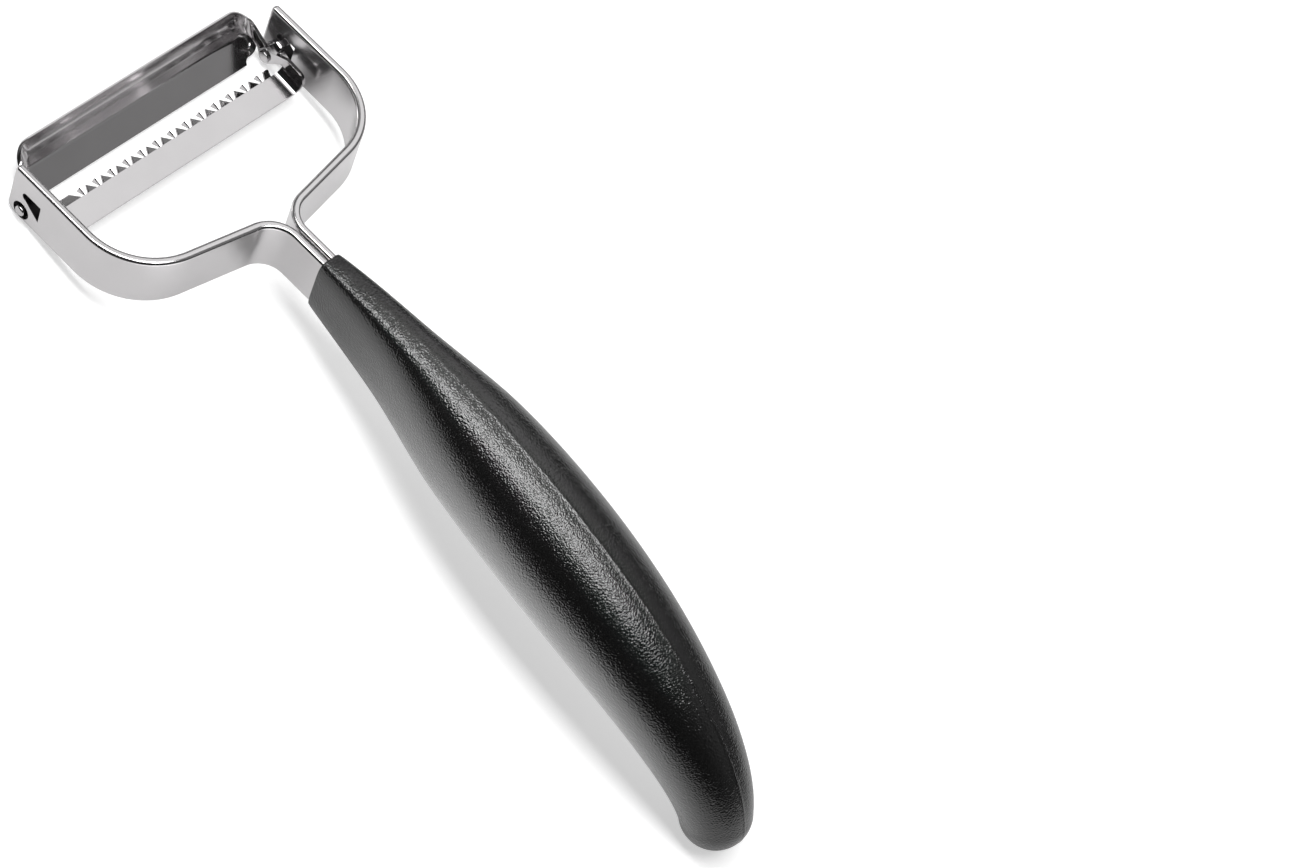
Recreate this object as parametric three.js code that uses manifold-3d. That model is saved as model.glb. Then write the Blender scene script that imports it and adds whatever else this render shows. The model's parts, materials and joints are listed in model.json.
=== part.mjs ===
// Julienne peeler: a Y-shaped frame of two bent steel strips held in a moulded handle,
// and a stamped blade that swivels on two riveted pins between the frame's arms.
//
// Sizes are in millimetres. The pieces are drawn with the frame level: x runs across the arms,
// y runs from the tail to the head and is 0 where the two legs bend apart, and z is up and is 0
// along the strip's top edge. At the end the whole peeler is laid down on its tail and arm tips.

import * as THREE from 'three';
import { mergeVertices } from 'three/addons/utils/BufferGeometryUtils.js';
import Module from 'manifold-3d';

const wasm = await Module();
wasm.setup();

const radians = THREE.MathUtils.degToRad;

// Frame: two mirrored strips on edge, side by side in the handle and a blade's length apart at the tips
const STRIP_THICKNESS = 2;
const STRIP_WIDTH = 13.2;
const STRIP_EDGE_ROUND = 0.5;
const ARM_SPACING = 70;
const ARM_CORNER_RADIUS = 15.7;
const SHOULDER_SLOPE = radians(10.3);
const NECK_BEND_RADIUS = 6.6;
const TIP_REACH = 44.9;
const TIP_TOP_ROUND = 0.8;
const TIP_BOTTOM_ROUND = 2.5;
const LEG_GAP = 0.3;
const NECK_LENGTH = 8.3;

// Tang: the narrower end of each strip, locked in the handle by plastic that fills its hole
const TANG_LENGTH = 42;
const TANG_HEIGHT = 10;
const TANG_HOLE_RADIUS = 2.5;
const TANG_HOLE_INSET = 10;
const SOCKET_CLEARANCE = 0.2;
const MOUTH_GAP = 0.3;

// Handle: lofted along a curve that starts level at the mouth and droops towards the tail
const MOUTH_WALL = 0.75;
const MOUTH_RIM = 0.6;
const HANDLE_REACH = 126.6;
const HANDLE_DROP = 38.8;
const MOUTH_RUN = 24.4;
const TAIL_RUN = 12.5;
const TAIL_RISE = 28.1;
const NECK_HALF_WIDTH = 6.3;
const NECK_HALF_HEIGHT = 10.2;
const SWELL_HALF_WIDTH = 11.3;
const SWELL_HALF_HEIGHT = 12.6;
const GRIP_RADIUS = 13.3;
const REAR_RADIUS = 12.7;
const TAPER_RADIUS = 10.6;
const TAIL_RADIUS = 7.6;
const MOUTH_SQUARENESS = 5;
const NECK_SQUARENESS = 3;
const SWELL_SQUARENESS = 2.3;
const ROUND = 2;

// Pivot: the axis that the blade swivels on, measured from the arm's tip and top edge
const PIVOT_FROM_TIP = 3.85;
const PIVOT_FROM_TOP = 10.5;
const PIN_RADIUS = 1.5;
const PIN_CLEARANCE = 0.35;
const PIN_PROUD = 0.8;
const PIN_CHAMFER = 0.3;
const PIN_COLLAR_OVERLAP = 0.25;
const PIN_COLLAR_LENGTH = 0.5;
const PIN_SPIGOT_RADIUS = 0.9;
const PIN_HEAD_RADIUS = 1.4;
const PIN_HEAD_HEIGHT = 0.6;
const RIVET_GAP = 0.15;
const COLLAR_GAP = 0.3;

// Blade: one stamped sheet, with a sloped tray behind the slicing edge and a toothed strip before it
const SHEET = 0.8;
const SIDE_GAP = 1.8;
const EDGE_AHEAD = 1.05;
const EDGE_BELOW = 1.5;
const EDGE_BEVEL = 1.6;
const TRAY_SLOPE = radians(36);
const TRAY_DEPTH = 6;
const TRAY_FILLET = 2.5;
const WALL_SLOPE = radians(78.6);
const WALL_HEIGHT = 8.65;
const WALL_CORNER_RUN = 3.7;
const WALL_CORNER_DROP = 6.2;
const RELIEF_RADIUS = 1.3;
const RELIEF_INSET = 3;

// Toothed strip: flat, with lands bent up between fins that are bent down
const COMB_BEHIND = 10.6;
const COMB_BELOW = 0.2;
const COMB_WIDTH = 5.9;
const COMB_TILT = radians(5);
const LAND_TILT = radians(30);
const LAND_HEIGHT = 1.5;
const LAND_INSET = 2.6;
const LAND_THICKNESS = 0.6;
const FIN_PITCH = 4.1;
const FIN_THICKNESS = 0.5;
const FIN_LENGTH = 2;
const FIN_DEPTH = 2.4;
const FIN_ROOT = 0.5;
const FIN_LAND_GAP = 0.9;
const FIRST_LAND = 5.6;
const LAST_LAND = 2.6;

// Ears and stop lugs: the blade's ends, with a bent lug that limits the swing in the arm's window
const EAR_BOSS_WALL = 0.65;
const EAR_TRAY_HALF_WIDTH = 1.3;
const EAR_WALL_RISE = 1;
const EAR_REAR_RISE = 3.8;
const EAR_REAR_ROUND = 2.5;
const EAR_SETBACK = 0.2;
const EAR_CREST = 5.4;
const LUG_REACH = 5;
const LUG_ANGLE = radians(112);
const LUG_WIDTH = 1.6;
const LUG_RECESS = 0.2;
const SWING_FORWARD = radians(13);
const SWING_BACK = radians(22);
const WINDOW_CLEARANCE = 0.35;
const WINDOW_NOSE_HEIGHT = 1.8;
const WINDOW_TAIL_HEIGHT = 4.5;

// Fineness of the round stretches
const CURVE_STEPS = 8;
const EDGE_STEPS = 2;
const HOLE_STEPS = 28;
const HANDLE_SIDES = 36;
const HANDLE_RINGS = 26;
const TAIL_CAP_RINGS = 6;
const TAIL_CAP_TURN = radians(80);
const WELD = 1e-4;

// Places worked out from the sizes
const armCentre = ARM_SPACING / 2;
const armInner = armCentre - STRIP_THICKNESS / 2;
const armOuter = armCentre + STRIP_THICKNESS / 2;
const legCentre = (LEG_GAP + STRIP_THICKNESS) / 2;
const stripMiddle = -STRIP_WIDTH / 2;
const mouthY = -NECK_LENGTH;
const tangEnd = mouthY - TANG_LENGTH;
const tangHoleY = tangEnd + TANG_HOLE_INSET;
const pivot = new THREE.Vector2(TIP_REACH - PIVOT_FROM_TIP, -PIVOT_FROM_TOP);
const earOuter = armInner - SIDE_GAP;
const earInner = earOuter - SHEET;
const earMiddle = earOuter - SHEET / 2;
const acrossX = ARM_SPACING;

const AXIS_X = new THREE.Vector3(1, 0, 0);
const AXIS_Y = new THREE.Vector3(0, 1, 0);
const AXIS_Z = new THREE.Vector3(0, 0, 1);

const heading = (angle) => new THREE.Vector2(Math.cos(angle), Math.sin(angle));
const along = (start, angle, distance) => start.clone().addScaledVector(heading(angle), distance);

// A closed mesh as a solid that can be joined and cut
function solid(geometry) {
  const bare = geometry.clone();
  bare.deleteAttribute('normal');
  bare.deleteAttribute('uv');
  const welded = mergeVertices(bare, WELD);
  const vertProperties = new Float32Array(welded.attributes.position.array);
  const triVerts = new Uint32Array(welded.index.array);
  return new wasm.Manifold(new wasm.Mesh({ numProp: 3, vertProperties, triVerts }));
}

function joined(solids) {
  return solids.reduce((whole, next) => whole.add(next));
}

function named(name, shape, material) {
  const { vertProperties, triVerts } = shape.getMesh();
  const geometry = new THREE.BufferGeometry();
  geometry.setAttribute('position', new THREE.BufferAttribute(vertProperties, 3));
  geometry.setIndex(new THREE.BufferAttribute(triVerts, 1));
  geometry.computeVertexNormals();
  const mesh = new THREE.Mesh(geometry, material);
  mesh.name = name;
  return mesh;
}

// An outline in the (y, z) plane, pulled along x
function pulledAlongX(outline, fromX, toX) {
  const geometry = new THREE.ExtrudeGeometry(outline, {
    depth: toX - fromX,
    bevelEnabled: false,
    curveSegments: CURVE_STEPS,
  });
  geometry.applyMatrix4(new THREE.Matrix4().makeBasis(AXIS_Y, AXIS_Z, AXIS_X).setPosition(fromX, 0, 0));
  return solid(geometry);
}

// A round bar along x about a point of the (y, z) plane
function barAlongX(centre, radius, fromX, toX) {
  const geometry = new THREE.CylinderGeometry(radius, radius, toX - fromX, HOLE_STEPS);
  geometry.rotateZ(-Math.PI / 2);
  geometry.translate((fromX + toX) / 2, centre.x, centre.y);
  return solid(geometry);
}

// An outline in a plane that holds x and rises along y at a tilt, thickened downwards from that plane
function plate(outline, corner, tilt, thickness) {
  const geometry = new THREE.ExtrudeGeometry(outline, {
    depth: thickness,
    bevelEnabled: false,
    curveSegments: CURVE_STEPS,
  });
  geometry.translate(0, 0, -thickness);
  geometry.rotateX(tilt);
  geometry.translate(0, corner.x, corner.y);
  return solid(geometry);
}

// A flat link with round ends between two points of the (y, z) plane
function link(from, to, halfWidth) {
  const angle = to.clone().sub(from).angle();
  const outline = new THREE.Shape();
  outline.absarc(to.x, to.y, halfWidth, angle - Math.PI / 2, angle + Math.PI / 2, false);
  outline.absarc(from.x, from.y, halfWidth, angle + Math.PI / 2, angle + 1.5 * Math.PI, false);
  return outline;
}

// Plan outline of the right-hand strip: leg, bend outwards, sloped shoulder, corner and arm
function stripPlan() {
  const half = STRIP_THICKNESS / 2;
  const bendEnd = Math.PI / 2 + SHOULDER_SLOPE;
  const cornerStart = SHOULDER_SLOPE - Math.PI / 2;
  const bend = new THREE.Vector2(legCentre + NECK_BEND_RADIUS, 0);
  const leave = along(bend, bendEnd, NECK_BEND_RADIUS);
  const cornerX = armCentre - ARM_CORNER_RADIUS;
  const arriveX = cornerX + ARM_CORNER_RADIUS * Math.cos(cornerStart);
  const run = (arriveX - leave.x) / Math.cos(SHOULDER_SLOPE);
  const arrive = along(leave, SHOULDER_SLOPE, run);
  const corner = along(arrive, bendEnd, ARM_CORNER_RADIUS);
  const outline = new THREE.Shape();
  outline.moveTo(legCentre + half, tangEnd);
  outline.absarc(bend.x, bend.y, NECK_BEND_RADIUS - half, Math.PI, bendEnd, true);
  outline.absarc(corner.x, corner.y, ARM_CORNER_RADIUS + half, cornerStart, 0, false);
  outline.lineTo(armOuter, TIP_REACH);
  outline.lineTo(armInner, TIP_REACH);
  outline.absarc(corner.x, corner.y, ARM_CORNER_RADIUS - half, 0, cornerStart, true);
  outline.absarc(bend.x, bend.y, NECK_BEND_RADIUS + half, bendEnd, Math.PI, false);
  outline.lineTo(legCentre - half, tangEnd);
  return outline.getPoints(CURVE_STEPS);
}

// Side outline of a strip: full width from the mouth to the rounded tip, and the narrower tang
function stripSide() {
  const shoulder = mouthY + MOUTH_GAP;
  const tangTop = stripMiddle + TANG_HEIGHT / 2;
  const tangBottom = stripMiddle - TANG_HEIGHT / 2;
  const low = TIP_BOTTOM_ROUND;
  const high = TIP_TOP_ROUND;
  const outline = new THREE.Shape();
  outline.moveTo(tangEnd, tangBottom);
  outline.lineTo(shoulder, tangBottom);
  outline.lineTo(shoulder, -STRIP_WIDTH);
  outline.absarc(TIP_REACH - low, low - STRIP_WIDTH, low, -Math.PI / 2, 0, false);
  outline.absarc(TIP_REACH - high, -high, high, 0, Math.PI / 2, false);
  outline.lineTo(shoulder, 0);
  outline.lineTo(shoulder, tangTop);
  outline.lineTo(tangEnd, tangTop);
  return outline;
}

// Wedge-shaped window that the blade's lug swings in
function windowOutline() {
  const lugOuter = LUG_REACH + SHEET / 2;
  const lugSpread = Math.asin(LUG_WIDTH / 2 / LUG_REACH);
  const top = pivot.y + lugOuter + WINDOW_CLEARANCE;
  const tail = along(pivot, LUG_ANGLE + SWING_BACK + lugSpread, lugOuter).x - WINDOW_CLEARANCE;
  const nose = along(pivot, LUG_ANGLE - SWING_FORWARD - lugSpread, lugOuter).x + WINDOW_CLEARANCE;
  const round = WINDOW_NOSE_HEIGHT / 2;
  const outline = new THREE.Shape();
  outline.moveTo(tail, top);
  outline.lineTo(tail, top - WINDOW_TAIL_HEIGHT);
  outline.absarc(nose - round, top - round, round, -Math.PI / 2, Math.PI / 2, false);
  return outline;
}

function arm(side) {
  const plan = stripPlan().map((point) => new THREE.Vector2(side * point.x, point.y));
  const geometry = new THREE.ExtrudeGeometry(new THREE.Shape(plan), {
    depth: STRIP_WIDTH - 2 * STRIP_EDGE_ROUND,
    bevelEnabled: true,
    bevelThickness: STRIP_EDGE_ROUND,
    bevelSize: STRIP_EDGE_ROUND,
    bevelOffset: -STRIP_EDGE_ROUND,
    bevelSegments: EDGE_STEPS,
  });
  geometry.translate(0, 0, STRIP_EDGE_ROUND - STRIP_WIDTH);
  const tangHole = new THREE.Vector2(tangHoleY, stripMiddle);
  return solid(geometry)
    .intersect(pulledAlongX(stripSide(), -acrossX, acrossX))
    .subtract(barAlongX(pivot, PIN_RADIUS + PIN_CLEARANCE, -acrossX, acrossX))
    .subtract(pulledAlongX(windowOutline(), -acrossX, acrossX))
    .subtract(barAlongX(tangHole, TANG_HOLE_RADIUS, -acrossX, acrossX));
}

// Handle: rings of a squared ellipse along the drooping curve, closed by a round tail
function handleLoft() {
  const mouthHalfWidth = LEG_GAP / 2 + STRIP_THICKNESS + SOCKET_CLEARANCE + MOUTH_WALL;
  const mouthHalfHeight = STRIP_WIDTH / 2 + MOUTH_RIM;
  const tailY = mouthY - HANDLE_REACH;
  const tailZ = stripMiddle - HANDLE_DROP;
  const spine = new THREE.CubicBezierCurve3(
    new THREE.Vector3(0, mouthY, stripMiddle),
    new THREE.Vector3(0, mouthY - MOUTH_RUN, stripMiddle),
    new THREE.Vector3(0, tailY + TAIL_RUN, tailZ + TAIL_RISE),
    new THREE.Vector3(0, tailY, tailZ),
  );
  // half-width, half-height and squareness at even steps along the spine
  const swell = new THREE.CatmullRomCurve3([
    new THREE.Vector3(mouthHalfWidth, mouthHalfHeight, MOUTH_SQUARENESS),
    new THREE.Vector3(NECK_HALF_WIDTH, NECK_HALF_HEIGHT, NECK_SQUARENESS),
    new THREE.Vector3(SWELL_HALF_WIDTH, SWELL_HALF_HEIGHT, SWELL_SQUARENESS),
    new THREE.Vector3(GRIP_RADIUS, GRIP_RADIUS, ROUND),
    new THREE.Vector3(REAR_RADIUS, REAR_RADIUS, ROUND),
    new THREE.Vector3(TAPER_RADIUS, TAPER_RADIUS, ROUND),
    new THREE.Vector3(TAIL_RADIUS, TAIL_RADIUS, ROUND),
  ], false, 'catmullrom');
  const rows = HANDLE_RINGS + TAIL_CAP_RINGS;
  const geometry = new THREE.CylinderGeometry(1, 1, 1, HANDLE_SIDES, rows);
  const places = geometry.attributes.position;
  const squared = (value, squareness) => Math.sign(value) * Math.abs(value) ** (2 / squareness);
  for (let i = 0; i < places.count; i += 1) {
    const ring = Math.round((0.5 - places.getY(i)) * rows);
    const step = Math.min(ring / HANDLE_RINGS, 1);
    const capTurn = TAIL_CAP_TURN * Math.max(ring - HANDLE_RINGS, 0) / TAIL_CAP_RINGS;
    const centre = spine.getPointAt(step);
    const forward = spine.getTangentAt(step);
    const upward = new THREE.Vector3().crossVectors(forward, AXIS_X);
    const { x: halfWidth, y: halfHeight, z: squareness } = swell.getPoint(step);
    const shrink = Math.cos(capTurn);
    const point = centre.addScaledVector(forward, TAIL_RADIUS * Math.sin(capTurn));
    point.addScaledVector(AXIS_X, shrink * halfWidth * squared(places.getX(i), squareness));
    point.addScaledVector(upward, shrink * halfHeight * squared(places.getZ(i), squareness));
    places.setXYZ(i, point.x, point.y, point.z);
  }
  return solid(geometry);
}

function handle() {
  const halfWidth = LEG_GAP / 2 + STRIP_THICKNESS + SOCKET_CLEARANCE;
  const halfHeight = TANG_HEIGHT / 2 + SOCKET_CLEARANCE;
  const socketEnd = tangEnd - SOCKET_CLEARANCE;
  const mouthRun = mouthY + MOUTH_GAP;
  const pocket = new THREE.BoxGeometry(2 * halfWidth, mouthRun - socketEnd, 2 * halfHeight);
  pocket.translate(0, (mouthRun + socketEnd) / 2, stripMiddle);
  const plug = barAlongX(
    new THREE.Vector2(tangHoleY, stripMiddle),
    TANG_HOLE_RADIUS - SOCKET_CLEARANCE,
    -acrossX,
    acrossX,
  );
  return handleLoft().subtract(solid(pocket).subtract(plug));
}

// Tray: ground slicing edge, sloped flat, fillet and raised front wall with rounded top corners
function tray() {
  const edge = new THREE.Vector2(pivot.x + EDGE_AHEAD, pivot.y - EDGE_BELOW);
  const turn = WALL_SLOPE - TRAY_SLOPE;
  const tangentRun = TRAY_FILLET * Math.tan(turn / 2);
  const fold = along(edge, TRAY_SLOPE, TRAY_DEPTH);
  const fillet = along(along(fold, TRAY_SLOPE, -tangentRun), TRAY_SLOPE + Math.PI / 2, TRAY_FILLET);
  const lip = along(fold, WALL_SLOPE, WALL_HEIGHT);
  const lipBack = along(lip, WALL_SLOPE - Math.PI / 2, SHEET);
  const bevel = along(along(edge, TRAY_SLOPE, EDGE_BEVEL), TRAY_SLOPE - Math.PI / 2, SHEET);
  const start = TRAY_SLOPE - Math.PI / 2;
  const end = WALL_SLOPE - Math.PI / 2;
  const outline = new THREE.Shape();
  outline.moveTo(edge.x, edge.y);
  outline.lineTo(bevel.x, bevel.y);
  outline.absarc(fillet.x, fillet.y, TRAY_FILLET + SHEET, start, end, false);
  outline.lineTo(lipBack.x, lipBack.y);
  outline.lineTo(lip.x, lip.y);
  outline.absarc(fillet.x, fillet.y, TRAY_FILLET, end, start, true);

  const front = new THREE.Shape();
  const reach = earOuter - WALL_CORNER_RUN;
  const cornerZ = lip.y - WALL_CORNER_DROP;
  front.moveTo(-earOuter, -2 * STRIP_WIDTH);
  front.lineTo(earOuter, -2 * STRIP_WIDTH);
  front.absellipse(reach, cornerZ, WALL_CORNER_RUN, WALL_CORNER_DROP, 0, Math.PI / 2, false);
  front.absellipse(-reach, cornerZ, WALL_CORNER_RUN, WALL_CORNER_DROP, Math.PI / 2, Math.PI, false);
  const frontGeometry = new THREE.ExtrudeGeometry(front, {
    depth: 2 * TIP_REACH,
    bevelEnabled: false,
    curveSegments: CURVE_STEPS,
  });
  frontGeometry.rotateX(Math.PI / 2);
  frontGeometry.translate(0, 2 * TIP_REACH, 0);

  const reliefs = [-1, 1].map((side) => {
    const relief = new THREE.CylinderGeometry(RELIEF_RADIUS, RELIEF_RADIUS, 2 * TRAY_DEPTH, HOLE_STEPS);
    relief.rotateX(Math.PI / 2 + TRAY_SLOPE);
    relief.translate(side * (earInner - RELIEF_INSET), edge.x, edge.y);
    return solid(relief);
  });
  return pulledAlongX(outline, -earMiddle, earMiddle)
    .intersect(solid(frontGeometry))
    .subtract(joined(reliefs));
}

const combRear = new THREE.Vector2(pivot.x - COMB_BEHIND, pivot.y - COMB_BELOW);
const combFold = along(combRear, COMB_TILT, COMB_WIDTH);
const fromComb = (ahead, above) => along(along(combRear, COMB_TILT, ahead), COMB_TILT + Math.PI / 2, above);
const bossRadius = PIN_SPIGOT_RADIUS + RIVET_GAP + EAR_BOSS_WALL;

// Toothed strip: a flat plate with a row of lands and fins along its front
function comb() {
  const outline = new THREE.Shape([
    new THREE.Vector2(-earMiddle, 0),
    new THREE.Vector2(earMiddle, 0),
    new THREE.Vector2(earMiddle, COMB_WIDTH),
    new THREE.Vector2(-earMiddle, COMB_WIDTH),
  ]);

  const toothedHalf = earInner - LAND_INSET;
  const room = 2 * toothedHalf - FIRST_LAND - LAST_LAND;
  const finCount = Math.floor(room / FIN_PITCH) + 1;
  const finPlaces = Array.from({ length: finCount }, (_, i) => i * FIN_PITCH + FIRST_LAND - toothedHalf);

  // the land before the first fin and after the last one are cut square at the outer end
  const lands = [landPlate([
    [-toothedHalf, 0],
    [finPlaces[0], 0],
    [finPlaces[0] - FIN_PITCH + FIN_LAND_GAP, LAND_HEIGHT],
    [-toothedHalf, LAND_HEIGHT],
  ])];
  finPlaces.forEach((place, i) => {
    const start = place + FIN_LAND_GAP;
    const isLast = i === finCount - 1;
    const end = isLast ? toothedHalf : place + FIN_PITCH;
    const top = isLast ? [[end, LAND_HEIGHT]] : [];
    lands.push(landPlate([[start, 0], [end, 0], ...top, [start, LAND_HEIGHT]]));
  });
  return joined([plate(outline, combRear, COMB_TILT, SHEET), ...lands, ...finPlaces.map(fin)]);
}

// A land's outline starts inside the strip's edge and rises past it at the land's own tilt
function landPlate(points) {
  const outline = points.map(([x, height]) => new THREE.Vector2(x, height === 0 ? -LAND_THICKNESS : height));
  return plate(new THREE.Shape(outline), combFold, LAND_TILT, LAND_THICKNESS);
}

// A fin hangs below the strip's plane, with its top edge level with the strip
function fin(place) {
  const back = along(combFold, COMB_TILT, -FIN_ROOT);
  const front = along(combFold, COMB_TILT, FIN_LENGTH);
  const foot = along(along(combFold, COMB_TILT, FIN_LENGTH / 2), COMB_TILT - Math.PI / 2, FIN_DEPTH);
  const outline = new THREE.Shape([back, foot, front]);
  return pulledAlongX(outline, place - FIN_THICKNESS / 2, place + FIN_THICKNESS / 2);
}

// Side outline of the ear behind the pivot: it stands on the toothed strip and is rounded at the rear
function earRear() {
  const up = COMB_TILT + Math.PI / 2;
  const round = fromComb(EAR_SETBACK + EAR_REAR_ROUND, EAR_REAR_RISE - EAR_REAR_ROUND);
  const outline = new THREE.Shape([
    fromComb(EAR_SETBACK, -SHEET / 2),
    fromComb(COMB_WIDTH, -SHEET / 2),
    along(pivot, -Math.PI / 2, bossRadius),
    along(pivot, Math.PI / 2, bossRadius),
    fromComb(EAR_CREST, EAR_REAR_RISE),
  ]);
  outline.absarc(round.x, round.y, EAR_REAR_ROUND, up, up + Math.PI / 2, false);
  return outline;
}

// Ear: joins the tray and the strip round the pivot, and carries the stop lug
function ear(side) {
  const inner = side > 0 ? earInner : -earOuter;
  const outer = side > 0 ? earOuter : -earInner;
  const fold = along(along(pivot, 0, EDGE_AHEAD), -Math.PI / 2, EDGE_BELOW);
  const wallFoot = along(along(fold, TRAY_SLOPE, TRAY_DEPTH), WALL_SLOPE, EAR_WALL_RISE);
  const lug = along(pivot, LUG_ANGLE, LUG_REACH + SHEET / 2 - LUG_WIDTH / 2);
  const outlines = [
    link(pivot, wallFoot, EAR_TRAY_HALF_WIDTH),
    link(pivot, lug, LUG_WIDTH / 2),
    earRear(),
  ];
  const lugStart = earMiddle;
  const lugEnd = armOuter - LUG_RECESS;
  const lugBar = new THREE.BoxGeometry(lugEnd - lugStart, LUG_WIDTH, SHEET);
  const lugCentre = along(pivot, LUG_ANGLE, LUG_REACH);
  lugBar.rotateX(LUG_ANGLE - Math.PI / 2);
  lugBar.translate(side * (lugStart + lugEnd) / 2, lugCentre.x, lugCentre.y);
  return joined([
    ...outlines.map((outline) => pulledAlongX(outline, inner, outer)),
    barAlongX(pivot, bossRadius, inner, outer),
    solid(lugBar),
  ]);
}

function blade() {
  const whole = joined([tray(), comb(), ear(-1), ear(1)]);
  return whole.subtract(barAlongX(pivot, PIN_SPIGOT_RADIUS + RIVET_GAP, -acrossX, acrossX));
}

// Pivot pin: rivet head inside the ear, spigot through it, collar beside the arm, and the journal
function pivotPin(side) {
  const head = earInner - RIVET_GAP;
  const journal = earOuter + RIVET_GAP;
  const collar = armInner - COLLAR_GAP;
  const collarRadius = PIN_RADIUS + PIN_CLEARANCE + PIN_COLLAR_OVERLAP;
  const end = armOuter + PIN_PROUD;
  const profile = [
    [0, head - PIN_HEAD_HEIGHT],
    [PIN_HEAD_RADIUS - PIN_CHAMFER, head - PIN_HEAD_HEIGHT],
    [PIN_HEAD_RADIUS, head - PIN_HEAD_HEIGHT + PIN_CHAMFER],
    [PIN_HEAD_RADIUS, head],
    [PIN_SPIGOT_RADIUS, head],
    [PIN_SPIGOT_RADIUS, journal],
    [PIN_RADIUS, journal],
    [PIN_RADIUS, collar - PIN_COLLAR_LENGTH],
    [collarRadius, collar - PIN_COLLAR_LENGTH],
    [collarRadius, collar],
    [PIN_RADIUS, collar],
    [PIN_RADIUS, end - PIN_CHAMFER],
    [PIN_RADIUS - PIN_CHAMFER, end],
    [0, end],
  ].map(([radius, place]) => new THREE.Vector2(radius, place));
  const geometry = new THREE.LatheGeometry(profile, HOLE_STEPS);
  geometry.rotateZ(-side * Math.PI / 2);
  geometry.translate(0, pivot.x, pivot.y);
  return solid(geometry);
}

const polishedSteel = new THREE.MeshStandardMaterial({ color: 0xc9cacc, metalness: 1, roughness: 0.22 });
const bladeSteel = new THREE.MeshStandardMaterial({ color: 0xbfc1c4, metalness: 1, roughness: 0.2 });
const pinSteel = new THREE.MeshStandardMaterial({ color: 0xd2d3d4, metalness: 1, roughness: 0.3 });
const grainedPlastic = new THREE.MeshStandardMaterial({ color: 0x1c1c1d, metalness: 0, roughness: 0.55 });

const peeler = new THREE.Group();
peeler.add(
  named('handle', handle(), grainedPlastic),
  named('left_arm', arm(-1), polishedSteel),
  named('right_arm', arm(1), polishedSteel),
  named('blade', blade(), bladeSteel),
  named('left_pivot_pin', pivotPin(-1), pinSteel),
  named('right_pivot_pin', pivotPin(1), pinSteel),
);

// Lay the peeler on its round tail and the lower corners of its arms, then centre it over its footprint
const tail = new THREE.Vector2(mouthY - HANDLE_REACH, stripMiddle - HANDLE_DROP);
const tipCorner = new THREE.Vector2(TIP_REACH - TIP_BOTTOM_ROUND, TIP_BOTTOM_ROUND - STRIP_WIDTH);
const span = tipCorner.clone().sub(tail);
const lean = Math.atan2(span.y, span.x) + Math.asin((TAIL_RADIUS - TIP_BOTTOM_ROUND) / span.length());
peeler.rotation.x = -lean;
peeler.updateMatrixWorld(true);
const footprint = new THREE.Box3().setFromObject(peeler, true);
peeler.position.y = -(footprint.min.y + footprint.max.y) / 2;
peeler.position.z = -footprint.min.z;
peeler.updateMatrixWorld(true);

export default peeler;
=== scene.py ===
"""Julienne peeler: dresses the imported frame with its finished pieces, materials and stage.

Pieces are drawn level, in metres: x across the arms, y from tail to head with 0 where the legs bend
apart, z up with 0 on the strip's top edge. The lying matrix then sets them down on the frame.
"""
import json
import math

import bmesh
import bpy
from bpy.props import FloatProperty, FloatVectorProperty, IntProperty, PointerProperty, StringProperty
from mathutils import Matrix, Vector


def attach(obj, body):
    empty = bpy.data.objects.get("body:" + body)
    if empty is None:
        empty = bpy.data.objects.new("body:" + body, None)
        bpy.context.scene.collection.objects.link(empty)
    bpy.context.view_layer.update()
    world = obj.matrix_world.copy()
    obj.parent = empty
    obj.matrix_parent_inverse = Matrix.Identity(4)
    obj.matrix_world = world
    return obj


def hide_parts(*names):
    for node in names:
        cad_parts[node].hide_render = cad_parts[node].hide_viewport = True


bl_info = {
    "name": "Julienne peeler",
    "version": (1, 0, 0),
    "blender": (4, 5, 0),
    "location": "View3D > Sidebar > Peeler",
    "description": "Builds a julienne peeler with a swivelling stamped blade on its packed frame",
    "category": "Add Mesh",
}

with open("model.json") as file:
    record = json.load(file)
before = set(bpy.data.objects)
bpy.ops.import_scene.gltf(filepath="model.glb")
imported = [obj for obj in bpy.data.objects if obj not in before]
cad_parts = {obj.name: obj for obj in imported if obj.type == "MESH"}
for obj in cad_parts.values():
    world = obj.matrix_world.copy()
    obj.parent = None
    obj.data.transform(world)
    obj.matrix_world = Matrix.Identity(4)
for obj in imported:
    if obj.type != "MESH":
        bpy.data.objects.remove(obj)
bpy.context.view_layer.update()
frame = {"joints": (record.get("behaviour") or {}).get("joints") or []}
SWIVEL = next(joint for joint in frame["joints"] if joint["name"] == "blade_swivel")

MM = 0.001
QUARTER = math.pi / 2
SIDES = {"left": -1, "right": 1}
SLIVER = 0.003 * MM  # edges shorter than this are merged after a cut or a union
FLAT = math.radians(0.05)  # faces that meet at less than this are joined after a cut or a union
CREASE = math.radians(40)  # edges that turn by more than this count as sharp
STRIP_CREASE = math.radians(50)  # the same for a strip, whose rounded corners turn more at its shoulder
ROUND = 2  # squareness of a plain ellipse


def length(name, description, millimetres):
    """A length property, written in millimetres."""
    return FloatProperty(
        name=name, description=description, default=millimetres * MM, unit='LENGTH', precision=5
    )


def turn(name, description, degrees):
    """An angle property, written in degrees."""
    return FloatProperty(name=name, description=description, default=math.radians(degrees), subtype='ANGLE')


def amount(name, description, value):
    """A brightness, a share or a ratio, which has no unit."""
    return FloatProperty(name=name, description=description, default=value)


def position(name, description, metres):
    """A place property, written in metres."""
    return FloatVectorProperty(name=name, description=description, default=metres, unit='LENGTH')


def shade(name, description, hex_colour):
    """A colour property, written as an sRGB hex value."""
    return StringProperty(name=name, description=description, default=hex_colour)


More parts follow.
